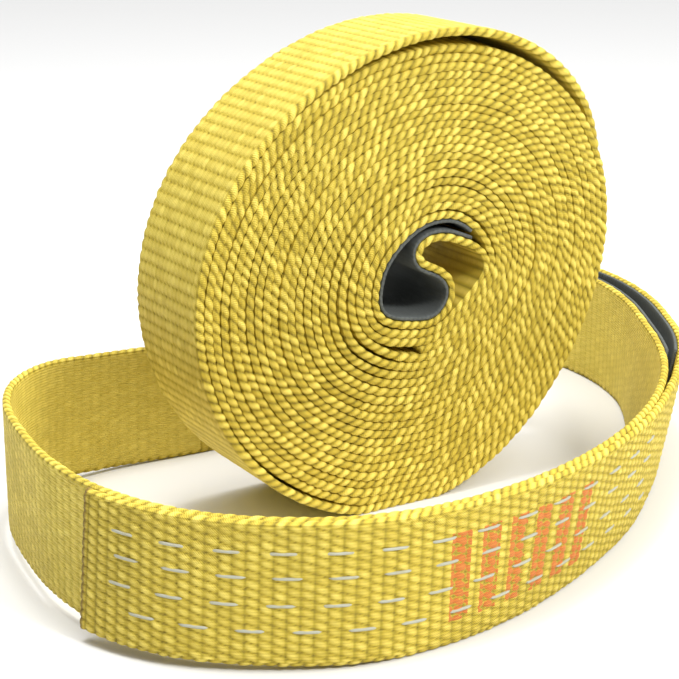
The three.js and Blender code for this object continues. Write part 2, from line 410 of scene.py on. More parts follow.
    def ring_line(self, peel: Array) -> tuple[Line, Array]:
        """The line from the peel to the outer eye's tip, and each sample's index into ring.

        On the right the ring leans: its lower edge is tucked in while its upper edge stays.
        """
        points = np.array(self.ring, float)
        points[:, 2] += self.width / 2
        centre, index = through_points(np.concatenate([peel[None], points]), self.ring_samples)
        centre, index = centre[1:], index[1:] - 1
        upright = smooth(index, -1, self.twist_end)[:, None]
        across = unit(AXLE * (1 - upright) + UP * upright)
        lean = np.sqrt(np.maximum(0, 1 - across[:, 2] ** 2))
        lowest = (self.width * across[:, 2] + self.thickness * lean) / 2
        centre[:, 2] = np.maximum(centre[:, 2], lowest)
        line = Line(centre, across, np.full(len(centre), self.thickness))
        rise = smooth(index, *self.lean_rises) * (1 - smooth(index, *self.lean_falls))
        tucked = line.frame()[1] * (self.lean * rise)[:, None]
        line.centre = centre - tucked * self.width / 2
        line.across = unit(across + tucked)
        return line, index

    def spacing(self, index: Array) -> Array:
        """How far the second layer stands off the first: against it as a lap, apart at the eye."""
        lap = self.thickness + self.layer_gap
        return lap + (self.eye_spacing - lap) * smooth(index, self.eye_throat, self.eye_open)

    def doubled(self, line: Line, index: Array, inset: float) -> tuple[Line, Line, Line]:
        """The near layer, the round bend at the tip, and the far layer back to the start.

        Both layers keep the line's height, so that they stand on the floor where the ring leans.
        """
        near = line.shifted(inset)
        far = line.shifted(self.spacing(index) - inset).turned_round()
        near.centre[:, 2] = line.centre[:, 2]
        far.centre[:, 2] = line.centre[::-1, 2]
        middle = (near.centre[-1] + far.centre[0]) / 2
        arm = near.centre[-1] - middle
        forward = unit(line.centre[-1] - line.centre[-2]) * np.linalg.norm(arm)
        angle = np.linspace(0, np.pi, self.bend_samples + 2)[1:-1, None]
        bend = middle + arm * np.cos(angle) + forward * np.sin(angle)
        tip = Line(bend, np.tile(UP, (len(bend), 1)), np.full(len(bend), self.thickness))
        return near, tip, far


@dataclass
class StrapLines:
    """The strap's line and the marks along it, with the lines of both pads."""

    line: Line
    marks: dict[str, float]
    inner_pad: Line
    outer_pad: Line
    half_width: float = 25.0
    flare: float = 0.06
    flare_length: float = 75.0

    def outward_layer(self, length: float, step: float = 0.5) -> Line:
        """The lap's outer layer from its cut end, with the end's lower edge standing outwards.

        Args:
            length: how much of it is wanted.
            step: the distance between samples.

        Returns:
            The line, whose outward normal looks out of the ring.
        """
        layer = self.line.turned_round().part(0, length, step)
        lean = (self.flare * (1 - smooth(layer.reach(), 0, self.flare_length)))[:, None]
        normal = layer.frame()[1]
        centre = layer.centre + normal * lean * self.half_width
        return Line(centre, unit(layer.across - normal * lean), layer.thickness)


def laid_out(route: StrapRoute) -> StrapLines:
    """Joins the strap's stretches into one smooth line and notes where each begins.

    Args:
        route: the strap's sizes and stretches.

    Returns:
        The line, the marks along it, and the two pads' lines.
    """
    steps = 1 / route.turn_samples
    lap_turns = np.arange(route.inner_lap_turns, -steps / 2, -steps)
    lap = route.wound(lap_turns, 2 * lap_turns)
    wall = route.eye_wall()
    turns = np.arange(0, route.wound_turns + steps / 2, steps)
    wound = route.wound(turns, route.layers_under(turns))
    ring, index = route.ring_line(wound.centre[-1])
    body = index < route.lap_start
    single = ring.chosen(body)
    near, tip, far = route.doubled(ring.chosen(~body), index[~body], 0.0)
    stretches = {
        "inner_lap": lap, "inner_eye": wall, "turns": wound, "ring": single,
        "inner_layer": near, "tip": tip, "outer_layer": far,
    }
    whole = lap.joined(*list(stretches.values())[1:])
    reach = whole.reach()
    starts = np.cumsum([0] + [len(part) for part in stretches.values()])
    marks = {name: float(reach[start]) for name, start in zip(stretches, starts)}
    marks["end"] = float(reach[-1])
    turn_start, turn_count = starts[2], len(wound)
    for turn in (route.split_turn, route.wound_turns - 1):
        sample = turn_start + int(turn / route.wound_turns * (turn_count - 1))
        marks[f"turn_{turn}"] = float(reach[sample])
    single_index = index[body]
    upright = starts[3] + int(np.searchsorted(single_index, route.twist_end))
    marks["upright"] = float(reach[upright])
    line = whole.even(route.fine_step, route.softness)

    pad_offset = (route.thickness + route.pad_thickness) / 2 + route.layer_gap / 2
    lining = wall.even(route.fine_step, route.softness).shifted(-pad_offset)
    length = lining.reach()[-1]
    margin = route.inner_pad_margin
    lining = lining.part(margin, length - margin, route.fine_step)
    open_part = route.spacing(index) >= route.pad_start_spacing
    near, tip, far = route.doubled(ring.chosen(open_part), index[open_part], pad_offset)
    outer = near.joined(tip, far).even(route.fine_step, route.softness)
    return StrapLines(
        line, marks, lining.thickened(route.pad_thickness), outer.thickened(route.pad_thickness))


# Sections and meshes


@dataclass
class Section:
    """The outline of a strap's section, as places across it and through its thickness.

    Attributes:
        width: the strap's width.
        outer_count: points across the outer face.
        inner_count: points across the inner face.
        far_count: points round the edge at the far side, and at the top where it stands.
        near_count: points round the other edge.
        edge: how far the rounding of an edge reaches in.
    """

    width: float
    outer_count: int
    inner_count: int
    far_count: int
    near_count: int
    edge: float = 1.3

    def points(self) -> dict[str, Array]:
        """The section's points going round: across, through (-1 to 1), their normal, and kind."""
        flat = self.width / 2 - self.edge
        far = np.linspace(np.pi / 2, -np.pi / 2, self.far_count)
        near = np.linspace(-np.pi / 2, -np.pi * 3 / 2, self.near_count)
        outer = np.linspace(-flat, flat, self.outer_count)[1:-1]
        inner = np.linspace(flat, -flat, self.inner_count)[1:-1]
        across = np.concatenate([
            outer, flat + self.edge * np.cos(far), inner, -flat + self.edge * np.cos(near)])
        through = np.concatenate([
            np.ones(len(outer)), np.sin(far), -np.ones(len(inner)), np.sin(near)])
        side = np.concatenate([
            np.zeros(len(outer)), np.cos(far), np.zeros(len(inner)), np.cos(near)])
        kinds = [Face.OUTER] * len(outer) + [Face.FAR_EDGE] * len(far)
        kinds += [Face.INNER] * len(inner) + [Face.NEAR_EDGE] * len(near)
        kind = np.array([face.value for face in kinds])
        return {"across": across, "through": through, "side": side, "kind": kind}


@dataclass
class Weave:
    """The woven relief of a strap: ribs across its faces, and twisted yarns along its edges.

    Attributes:
        rib_pitch: distance between ribs along the strap.
        column_pitch: distance between the raised columns across it.
        rib_height: how far ribs stand up.
        flatness: the power that broadens a rib's top; smaller is flatter.
        teeth: how far the yarns fill the creases between ribs.
        column_share: how much of the relief belongs to the columns.
        lean: how far a grain leans across the strap, in columns for each rib.
        inner_share: how much of the relief shows on the inner face, which is pressed smoother.
        bead_pitch: distance between the yarn turns along an edge.
        bead_height: how far they stand out.
        bead_slant: how far a yarn turn leans from one face to the other, in pitches.
        bead_sharpness: the power that narrows a bead.
        bead_evenness: the lowest bead, as a share of the highest.
        wavers: waves in the beads' spacing, each as size, length and phase.
        row_shift: how far a rib's columns may stand off their place.
        unevenness: how much lower than the others a grain may be.
        inner_level: the relief that the inner face is pressed towards.
        level: the relief that leaves the surface where it is.
    """

    rib_pitch: float = 4.4
    column_pitch: float = 3.15
    rib_height: float = 0.4
    flatness: float = 0.7
    teeth: float = 0.5
    column_share: float = 0.1
    lean: float = 0.0
    inner_share: float = 0.35
    bead_pitch: float = 4.2
    bead_height: float = 1.05
    bead_slant: float = 0.3
    bead_sharpness: float = 1.4
    bead_evenness: float = 0.62
    wavers: tuple = ((0.3, 23.0, 0.0), (0.16, 6.1, 1.3))
    row_shift: float = 0.3
    unevenness: float = 0.2
    inner_level: float = 0.85
    level: float = 0.6

    def relief(self, along: Array, points: dict[str, Array]) -> tuple[Array, Array]:
        """The height of the relief from 0 to 1, and the tone of each yarn.

        Args:
            along: the place of each station along the strap.
            points: the section's points.

        Returns:
            Two arrays of stations by points.
        """
        edge = np.isin(points["kind"], [Face.FAR_EDGE.value, Face.NEAR_EDGE.value])[None]
        ribs, rib_tone = self.face_relief(along[:, None], points)
        beads, bead_tone = self.edge_relief(along[:, None], points)
        return np.where(edge, beads, ribs), np.where(edge, bead_tone, rib_tone)

    def face_relief(self, along: Array, points: dict[str, Array]) -> tuple[Array, Array]:
        """Height and tone of the faces: rows of broad ribs with yarns as teeth in their creases.

        The teeth are set half a pitch over in every other rib, and may cut the ribs into grains.
        """
        rib = along / self.rib_pitch
        row = np.round(rib)
        drift = 0.5 * np.mod(row, 2) + self.lean * (rib - row)
        column = points["across"][None] / self.column_pitch
        column = column + (drift + self.row_shift * (hashed(row, 5.0) - 0.5))
        grain = row * 31 + np.round(column)
        blob = rounded(column)
        depth = 1 - rounded(rib) ** self.flatness
        height = 1 - depth * (1 - self.teeth * blob)
        height = height * (1 - self.column_share + self.column_share * blob)
        height = height * (1 - self.unevenness + self.unevenness * hashed(grain, 4.0))
        inner = (points["kind"] == Face.INNER.value)[None]
        pressed = self.inner_level - (self.inner_level - height) * self.inner_share
        return np.where(inner, pressed, height), hashed(grain, 1.0)

    def edge_relief(self, along: Array, points: dict[str, Array]) -> tuple[Array, Array]:
        """Height and tone of the edges: slanted half-round beads, uneven from one to the next."""
        waver = sum(size * np.sin(along / length + phase) for size, length, phase in self.wavers)
        slant = np.sign(points["across"]) * self.bead_slant * points["through"]
        bead = along / self.bead_pitch + waver + slant[None]
        number = np.round(bead)
        uneven = self.bead_evenness + (1 - self.bead_evenness) * hashed(number, 3.0)
        return rounded(bead) ** self.bead_sharpness * uneven, hashed(number, 2.0)

    def lift(self, height: Array, points: dict[str, Array]) -> Array:
        """The relief as a distance, taller on the edges than on the faces."""
        side = np.abs(points["side"])[None]
        tall = self.rib_height + (self.bead_height - self.rib_height) * side
        return tall * (height - self.level)


def ring_quads(stations: int, count: int) -> Array:
    """The quads between neighbouring rings of count points, each ring closed on itself."""
    start = np.arange(stations - 1)[:, None] * count
    first = start + np.arange(count)[None]
    beside = start + np.roll(np.arange(count), -1)[None]
    return np.stack([first, first + count, beside + count, beside], -1).reshape(-1, 4)


def swept_mesh(
    name: str, line: Line, section: Section, weave: Weave, start: float = 0.0
) -> bpy.types.Object:
    """Carries a section along a line and joins its rings by quads, with a cap at each end.

    A point lies at centre + across * side + through * half thickness * normal, and the weave's
    relief moves it outwards along the section's own normal.

    Args:
        name: the new object's name.
        line: the middle line, in millimetres.
        section: the section's outline.
        weave: its relief.
        start: how far along the whole strap this stretch begins.

    Returns:
        The object, with point attributes along, across, relief and tone.
    """
    points = section.points()
    along = line.reach() + start
    side, normal = line.frame()
    height, tone = weave.relief(along, points)
    lift = weave.lift(height, points)
    side_share = points["side"][None]
    through_share = np.sign(points["through"])[None] * np.sqrt(1 - side_share**2)
    across = points["across"][None] + side_share * lift
    through = points["through"][None] * line.thickness[:, None] / 2 + through_share * lift
    vertices = (
        line.centre[:, None] + across[..., None] * side[:, None] + through[..., None] * normal[:, None]
    )
    stations, count = across.shape
    quads = ring_quads(stations, count)
    return grid_object(name, vertices.reshape(-1, 3) * METRES, quads, count, {
        "along": np.repeat(along, count),
        "across": np.tile(points["across"], stations),
        "relief": height.reshape(-1),
        "tone": tone.reshape(-1),
    })


def grid_object(
    name: str, vertices: Array, quads: Array, cap: int, attributes: dict[str, Array]
) -> bpy.types.Object:
    """Makes a mesh object of quads, with an n-sided cap on its first and last rings.

    Args:
        name: the object's name.
        vertices: the points, in metres.
        quads: four indices a row.
        cap: how many points a ring has; 0 leaves the ends open.
        attributes: named numbers, one for each point.

    Returns:
        The linked object, shaded smooth.
    """
    last = len(vertices) - cap
    caps = [np.arange(cap), last + np.arange(cap)[::-1]] if cap else []
    loops = np.concatenate([quads.reshape(-1), *caps]).astype(np.int32)
    sizes = np.concatenate([np.full(len(quads), 4), np.full(len(caps), cap)]).astype(np.int32)
    mesh = bpy.data.meshes.new(name)
    mesh.vertices.add(len(vertices))
    mesh.vertices.foreach_set("co", vertices.astype(np.float32).reshape(-1))
    mesh.loops.add(len(loops))
    mesh.loops.foreach_set("vertex_index", loops)
    mesh.polygons.add(len(sizes))
    mesh.polygons.foreach_set("loop_start", np.concatenate([[0], np.cumsum(sizes)[:-1]]).astype(np.int32))
    mesh.polygons.foreach_set("loop_total", sizes)
    mesh.update(calc_edges=True)
    mesh.validate()
    mesh.polygons.foreach_set("use_smooth", np.ones(len(sizes), bool))
    for key, values in attributes.items():
        layer = mesh.attributes.new(key, "FLOAT", "POINT")
        layer.data.foreach_set("value", values.astype(np.float32))
    piece = bpy.data.objects.new(name, mesh)
    bpy.context.scene.collection.objects.link(piece)
    return piece


# Finishes


class NodeSheet:
    """A thin helper that adds and links the nodes of one tree."""

    def __init__(self, tree: bpy.types.NodeTree) -> None:
        """Keeps the tree and empties it."""
        self.tree = tree
        tree.nodes.clear()

    def add(self, kind: str, **settings: object) -> bpy.types.Node:
        """Adds a node of a kind, with its settings."""
        node = self.tree.nodes.new(kind)
        for key, value in settings.items():
            setattr(node, key, value)
        return node

    def link(self, source: bpy.types.NodeSocket, target: bpy.types.NodeSocket) -> None:
        """Joins two sockets."""
        self.tree.links.new(source, target)

    def value(self, target: bpy.types.NodeSocket, source: object) -> None:
        """Feeds a socket with another socket or with a constant."""
        if isinstance(source, bpy.types.NodeSocket):
            self.link(source, target)
        else:
            target.default_value = source

    def math(self, operation: str, *values: object) -> bpy.types.NodeSocket:
        """The result of a Math node."""
        node = self.add("ShaderNodeMath", operation=operation)
        for socket, source in zip(node.inputs, values):
            self.value(socket, source)
        return node.outputs[0]

    def attribute(self, name: str) -> bpy.types.NodeSocket:
        """A point attribute of the mesh, as a number."""
        return self.add("ShaderNodeAttribute", attribute_name=name).outputs["Fac"]

    def ramp(
        self, source: bpy.types.NodeSocket, stops: list[tuple[float, tuple]]
    ) -> bpy.types.NodeSocket:
        """Colours along a Color Ramp."""
        node = self.add("ShaderNodeValToRGB")
        elements = node.color_ramp.elements
        while len(elements) < len(stops):
            elements.new(0.5)
        for element, (place, colour) in zip(elements, stops):
            element.position = place
            element.color = (*colour, 1.0)
        self.link(source, node.inputs["Fac"])
        return node.outputs["Color"]

    def mix(self, factor: object, first: object, second: object) -> bpy.types.NodeSocket:
        """A colour mixed from two."""
        node = self.add("ShaderNodeMix", data_type="RGBA", blend_type="MIX", clamp_factor=True)
        self.value(node.inputs["Factor"], factor)
        for socket, source in ((node.inputs[6], first), (node.inputs[7], second)):
            self.value(socket, source if isinstance(source, bpy.types.NodeSocket) else (*source, 1.0))
        return node.outputs[2]

    def noise(self, scale: float, detail: float = 2.0, roughness: float = 0.5) -> bpy.types.NodeSocket:
        """Noise on Object coordinates, in metres."""
        node = self.add("ShaderNodeTexNoise")
        node.inputs["Scale"].default_value = scale
        node.inputs["Detail"].default_value = detail
        node.inputs["Roughness"].default_value = roughness
        coordinates = self.add("ShaderNodeTexCoord")
        self.link(coordinates.outputs["Object"], node.inputs["Vector"])
        return node.outputs["Fac"]


def new_group(name: str, inputs: dict[str, float], outputs: tuple[str, ...]) -> tuple:
    """A shader node group with named number sockets.

    Args:
        name: the group's name.
        inputs: names and defaults.
        outputs: names.

    Returns:
        The tree, its helper, and its input and output nodes.
    """
    tree = bpy.data.node_groups.new(name, "ShaderNodeTree")
    for label, default in inputs.items():
        socket = tree.interface.new_socket(label, in_out="INPUT", socket_type="NodeSocketFloat")
        socket.default_value = default
    for label in outputs:
        tree.interface.new_socket(label, in_out="OUTPUT", socket_type="NodeSocketFloat")
    sheet = NodeSheet(tree)
    return tree, sheet, sheet.add("NodeGroupInput"), sheet.add("NodeGroupOutput")


def yarn_group() -> bpy.types.NodeTree:
    """Fine yarns: lines along the strap, a twist that slants over them, and a little fuzz."""
    inputs = {"Along": 0.0, "Across": 0.0, "Yarn Pitch": 1.1, "Yarn Height": 0.35,
              "Twist Pitch": 0.8, "Twist Height": 0.2, "Fuzz": 0.3}
    tree, sheet, given, result = new_group("fine_yarns", inputs, ("Height",))
    turn = 2 * math.pi
    lines = sheet.math("DIVIDE", given.outputs["Across"], given.outputs["Yarn Pitch"])
    lines = sheet.math("COSINE", sheet.math("MULTIPLY", lines, turn))
    lines = sheet.math("MULTIPLY", lines, given.outputs["Yarn Height"])
    slant = sheet.math("ADD", given.outputs["Along"], given.outputs["Across"])
    slant = sheet.math("DIVIDE", slant, given.outputs["Twist Pitch"])
    slant = sheet.math("COSINE", sheet.math("MULTIPLY", slant, turn))
    slant = sheet.math("MULTIPLY", slant, given.outputs["Twist Height"])
    fuzz = sheet.math("MULTIPLY", sheet.noise(2600.0, 3.0, 0.65), given.outputs["Fuzz"])
    total = sheet.math("ADD", lines, slant)
    sheet.link(sheet.math("ADD", total, fuzz), result.inputs["Height"])
    return tree


def wear_group() -> bpy.types.NodeTree:
    """Uneven dirt and fading: soft patches with finer specks in them."""
    inputs = {"Amount": 0.5, "Threshold": 0.22, "Contrast": 4.0}
    tree, sheet, given, result = new_group("patches", inputs, ("Dirt", "Fade"))
    broad = sheet.noise(28.0, 4.0, 0.6)
    fine = sheet.noise(420.0, 3.0, 0.6)
    dirt = sheet.math("MULTIPLY", broad, fine)
    dirt = sheet.math("SUBTRACT", dirt, given.outputs["Threshold"])
    dirt = sheet.math("MULTIPLY", dirt, given.outputs["Contrast"])
    dirt = sheet.math("MULTIPLY", dirt, given.outputs["Amount"])
    sheet.link(sheet.math("MAXIMUM", dirt, 0.0), result.inputs["Dirt"])
    sheet.link(sheet.noise(9.0, 2.0, 0.5), result.inputs["Fade"])
    return tree


def placed_group(sheet: NodeSheet, name: str, **values: object) -> bpy.types.Node:
    """A node group placed in a material, with its inputs fed."""
    node = sheet.add("ShaderNodeGroup", node_tree=bpy.data.node_groups[name])
    for label, source in values.items():
        sheet.value(node.inputs[label.replace("_", " ")], source)
    return node


def started(name: str) -> tuple[bpy.types.Material, NodeSheet, bpy.types.Node]:
    """A new material with one Principled shader, its node helper and the shader."""
    material = bpy.data.materials.new(name)
    material.use_nodes = True
    sheet = NodeSheet(material.node_tree)
    output = sheet.add("ShaderNodeOutputMaterial")
    shader = sheet.add("ShaderNodeBsdfPrincipled")
    sheet.link(shader.outputs[0], output.inputs[0])
    return material, sheet, shader


def woven(
    sheet: NodeSheet, shader: bpy.types.Node, strength: float, distance: float, **yarns: object
) -> None:
    """Feeds a shader's normal with fine yarns along the mesh's along and across.

    Args:
        sheet: the material's node helper.
        shader: its Principled shader.
        strength: the bump's strength.
        distance: its height in metres.
        yarns: other inputs of the yarn group.
    """
    placed = placed_group(sheet, "fine_yarns", Along=sheet.attribute("along"),
                          Across=sheet.attribute("across"), **yarns)
    bump = sheet.add("ShaderNodeBump")
    bump.inputs["Strength"].default_value = strength
    bump.inputs["Distance"].default_value = distance
    sheet.link(placed.outputs["Height"], bump.inputs["Height"])
    sheet.link(bump.outputs["Normal"], shader.inputs["Normal"])


@dataclass(frozen=True)
class Print:
    """A block of plain upright bars in worn ink on the lap. Lengths are in millimetres."""

    start: float = 128.0
    length: float = 70.0
    height: float = 32.0
    bar_pitch: float = 12.6
    bar_share: float = 0.62
    speckle: float = 0.9
    worn_below: float = 0.98
    ink: tuple = (0.66, 0.15, 0.035)

    def mask(self, sheet: NodeSheet, along: object, across: object, relief: object) -> object:
        """Ink on the raised grains, inside the block and inside a bar."""
        place = sheet.math("SUBTRACT", along, self.start)
        inside = sheet.math("MULTIPLY", sheet.math("GREATER_THAN", place, 0.0),
                            sheet.math("LESS_THAN", place, self.length))
        low = sheet.math("LESS_THAN", sheet.math("ABSOLUTE", across), self.height / 2)
        bar = sheet.math("FRACT", sheet.math("DIVIDE", place, self.bar_pitch))
        bar = sheet.math("LESS_THAN", bar, self.bar_share)
        worn = sheet.math("MULTIPLY", sheet.noise(700.0, 2.0, 0.6), self.speckle)
        worn = sheet.math("GREATER_THAN", sheet.math("ADD", worn, relief), self.worn_below)
        block = sheet.math("MULTIPLY", inside, low)
        return sheet.math("MULTIPLY", sheet.math("MULTIPLY", block, bar), worn)


@dataclass(frozen=True)
class WebbingFinish:
    """Yellow polyester webbing, with painted shade in the creases between the yarns and a painted
    highlight on top of them.
    """

    name: str = "yellow_webbing"
    # Colours by relief height: painted shade deep in the creases, the yarn's own colour, a painted
    # highlight on the crests, and a lighter painted shade that the dirt patches also darken towards.
    painted_crease_shade: tuple = (0.11, 0.07, 0.006)
    yarn: tuple = (0.6, 0.45, 0.045)
    painted_highlight: tuple = (0.92, 0.75, 0.15)
    painted_shade_and_dirt: tuple = (0.33, 0.25, 0.025)
    cut: tuple = (0.2, 0.12, 0.03)
    cut_length: float = 1.5
    cut_strength: float = 1.4
    cut_most: float = 0.8
    stops: tuple = (0.0, 0.3, 0.6, 0.95)
    tone_share: float = 0.35
    dirt_share: float = 0.5
    ink_share: float = 0.85
    roughness: float = 0.5
    fading: float = 0.25
    shine: float = 0.3
    bump: tuple = (0.9, 0.0004)
    printed: Print | None = None

    def material(self) -> bpy.types.Material:
        """Builds the material from the mesh's relief, tone, along and across."""
        material, sheet, shader = started(self.name)
        relief, tone = sheet.attribute("relief"), sheet.attribute("tone")
        patches = placed_group(sheet, "patches", Amount=0.6)
        # The relief picks painted shade in the creases, the yarn colour, and a painted highlight on the
        # tops of the yarns.
        painted_shade_to_highlight = (self.painted_crease_shade, self.painted_shade_and_dirt, self.yarn, self.painted_highlight)
        colour = sheet.ramp(relief, list(zip(self.stops, painted_shade_to_highlight)))
        colour = sheet.mix(sheet.math("MULTIPLY", tone, self.tone_share), colour, self.yarn)
        dirt = sheet.math("MULTIPLY", patches.outputs["Dirt"], self.dirt_share)
        # Dirt darkens towards the same colour as the lighter painted shade.
        colour = sheet.mix(dirt, colour, self.painted_shade_and_dirt)
        if self.printed:
            along = sheet.attribute("along")
            mask = self.printed.mask(sheet, along, sheet.attribute("across"), relief)
            colour = sheet.mix(sheet.math("MULTIPLY", mask, self.ink_share), colour, self.printed.ink)
            end = sheet.math("SUBTRACT", 1.0, sheet.math("DIVIDE", along, self.cut_length))
            end = sheet.math("MULTIPLY", sheet.math("MAXIMUM", end, 0.0), self.cut_strength)
            colour = sheet.mix(sheet.math("MINIMUM", end, self.cut_most), colour, self.cut)
        woven(sheet, shader, *self.bump)
        sheet.link(colour, shader.inputs["Base Color"])
        faded = sheet.math("MULTIPLY", patches.outputs["Fade"], self.fading)
        sheet.link(sheet.math("ADD", self.roughness, faded), shader.inputs["Roughness"])
        shader.inputs["Specular IOR Level"].default_value = self.shine
        return material


@dataclass(frozen=True)
class PadFinish:
    """Black woven nylon with a dull teal cast."""

    name: str = "black_pad"
    thread: tuple = (0.056, 0.063, 0.06)
    worn: tuple = (0.125, 0.135, 0.128)
    roughness: float = 0.8
    shine: float = 0.2
    bump: tuple = (0.6, 0.0002)

    def material(self) -> bpy.types.Material:
        """Builds the material from the mesh's relief, along and across."""
        material, sheet, shader = started(self.name)
        patches = placed_group(sheet, "patches", Amount=0.8)
        colour = sheet.mix(sheet.attribute("relief"), self.thread, self.worn)
        colour = sheet.mix(patches.outputs["Dirt"], colour, self.worn)
        woven(sheet, shader, *self.bump, Yarn_Pitch=0.9, Fuzz=0.5)
        sheet.link(colour, shader.inputs["Base Color"])
        shader.inputs["Roughness"].default_value = self.roughness
        shader.inputs["Specular IOR Level"].default_value = self.shine
        return material


@dataclass(frozen=True)
class ThreadFinish:
    """Pale sewing thread."""

    name: str = "pale_thread"
    colour: tuple = (0.44, 0.44, 0.35)
    soiled: tuple = (0.4, 0.36, 0.2)

    def material(self) -> bpy.types.Material:
        """Builds the material, greyed here and there by dirt."""
        material, sheet, shader = started(self.name)
        patches = placed_group(sheet, "patches", Amount=0.8)
        colour = sheet.mix(patches.outputs["Dirt"], self.colour, self.soiled)
        sheet.link(colour, shader.inputs["Base Color"])
        shader.inputs["Roughness"].default_value = 0.6
        return material


def dress(piece: bpy.types.Object, material: bpy.types.Material) -> None:
    """Gives a piece its material and its body."""
    piece.data.materials.append(material)
    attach(piece, BODY)
    LOG.info("%s: %d faces", piece.name, len(piece.data.polygons))


# Sub-assemblies


@dataclass(frozen=True)
class Stretch:
    """One stretch of the strap, from one mark to another.

    Attributes:
        name: the piece's name.
        first: the mark where it starts.
        last: the mark where it ends.
        step: the distance between its stations.
        section: its section.
        weave: its relief.
        reversed: whether it is laid from its end, so that its outer face is the one in view.
    """

    name: str
    first: str
    last: str
    step: float
    section: Section
    weave: Weave
    reversed: bool = False


@dataclass
class Webbing:
    """The whole yellow strap, made in stretches that meet end to end."""

    route: StrapRoute
    lines: StrapLines

    def stretches(self) -> list[Stretch]:
        """The stretches, each with as many points as its faces in view need."""
        width = self.route.width
        split = f"turn_{self.route.split_turn}"
        last = f"turn_{self.route.wound_turns - 1}"
        plain = Weave()
        bead_step = plain.bead_pitch / 6
        rib_step = plain.rib_pitch / 6
        grained = Weave(rib_height=0.95, flatness=1.0, teeth=0.35, column_share=0.85, lean=0.45,
                        bead_height=0.6)
        body = Weave(rib_height=0.5, flatness=0.8, teeth=0.6, column_share=0.4, lean=0.3,
                     bead_height=0.6)
        toothed = Weave(rib_height=0.6, flatness=1.6, teeth=0.68, column_share=0.12)
        edge_on = Section(width, 3, 3, 6, 9)
        return [
            Stretch("core_and_inner_turns", "inner_lap", split, bead_step, edge_on, plain),
            Stretch("outer_turns", split, last, bead_step, edge_on, plain),
            Stretch("outermost_turn", last, "upright", rib_step, Section(width, 56, 8, 6, 8), toothed),
            Stretch("ring_band", "upright", "inner_layer", rib_step,
                    Section(width, 56, 56, 8, 6), body),
            Stretch("inner_layer", "inner_layer", "tip", rib_step, Section(width, 6, 56, 8, 6), body),
            Stretch("outer_lap", "tip", "end", rib_step, Section(width, 84, 6, 8, 6), grained, True),
        ]

    def build(self) -> list[bpy.types.Object]:
        marks = self.lines.marks
        scale = self.lines.line.reach()[-1] / marks["end"]
        plain = WebbingFinish().material()
        inked = WebbingFinish("printed_webbing", printed=Print()).material()
        pieces = []
        for stretch in self.stretches():
            start, end = marks[stretch.first] * scale, marks[stretch.last] * scale
            line = self.lines.line.part(start, end, stretch.step)
            if stretch.reversed:
                line, start = self.lines.outward_layer(end - start, stretch.step), 0
            piece = swept_mesh(stretch.name, line, stretch.section, stretch.weave, start)
            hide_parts("webbing")
            dress(piece, inked if stretch.reversed else plain)
            flat = (self.route.width * METRES, line.reach()[-1] * METRES)
            pieces.append(piece)
        return pieces


@dataclass
class WearPads:
    """The two black pads that line the eyes."""

    lines: StrapLines
    width: float = 49.0
    step: float = 0.8

    def build(self) -> list[bpy.types.Object]:
        """Makes both pads with a fine, flat weave."""
        weave = Weave(rib_pitch=1.6, column_pitch=1.4, rib_height=0.12, bead_pitch=2.0,
                      bead_height=0.2, bead_slant=0.2)
        finish = PadFinish().material()
        pieces = []
        for name, node, line in (
            ("inner_pad_lining", "inner_eye_pad", self.lines.inner_pad),
            ("outer_pad_lining", "outer_eye_pad", self.lines.outer_pad),
        ):
            section = Section(self.width, 34, 34, 6, 6, edge=0.6)
            length = line.reach()[-1]
            piece = swept_mesh(name, line.part(0, length, self.step), section, weave)
            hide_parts(node)
            dress(piece, finish)
            pieces.append(piece)
        return pieces


@dataclass
class LapStitching:
    """Rows of long pale stitches along the outer lap, half sunk in the weave."""

    route: StrapRoute
    lines: StrapLines
    rows: tuple = (14.5, 6.0, -3.5, -12.5)
    stagger: tuple = (3.0, 4.5, 2.5, 11.0)
    pitch: float = 18.0
    dash: float = 10.0
    thickness: float = 1.1
    margin: float = 9.0
    sunk: float = 0.3
    bow: float = 0.4
    ring_points: int = 8
    dash_stations: int = 9

    def build(self) -> bpy.types.Object:
        """Makes one mesh of all stitches: each is a bowed, round-ended tube on the outer face."""
        line = self.lines.outward_layer(self.lap_length() + self.pitch)
        reach = line.reach()
        side, normal = line.frame()
        starts = np.arange(self.margin, self.lap_length() - self.dash, self.pitch)
        begin = (starts[:, None] + np.array(self.stagger)[None]).reshape(-1)
        across = np.tile(np.array(self.rows), len(starts))
        share = np.linspace(0, 1, self.dash_stations)
        places = begin[:, None] + self.dash * share[None]
        centre = interpolated(places, reach, line.centre)
        out = interpolated(places, reach, normal)
        over = interpolated(places, reach, side)
        height = self.route.thickness / 2 - self.sunk + self.bow * np.sin(np.pi * share) ** 0.5
        centre = centre + out * height[None, :, None] + over * across[:, None, None]
        radius = self.thickness / 2 * np.sqrt(np.maximum(0.02, 1 - (2 * share - 1) ** 8))
        angle = np.linspace(0, 2 * np.pi, self.ring_points, endpoint=False)
        ring = out[:, :, None] * np.cos(angle)[None, None, :, None]
        ring = ring + over[:, :, None] * np.sin(angle)[None, None, :, None]
        vertices = centre[:, :, None] + ring * radius[None, :, None, None]
        return tubes_object("lap_stitches", vertices * METRES)

    def lap_length(self) -> float:
        """The length of the outer lap, from its cut end to the eye's throat."""
        points = np.array(self.route.ring[self.route.lap_start:self.route.eye_throat + 1], float)
        return float(np.linalg.norm(np.diff(points[:, :2], axis=0), axis=1).sum())


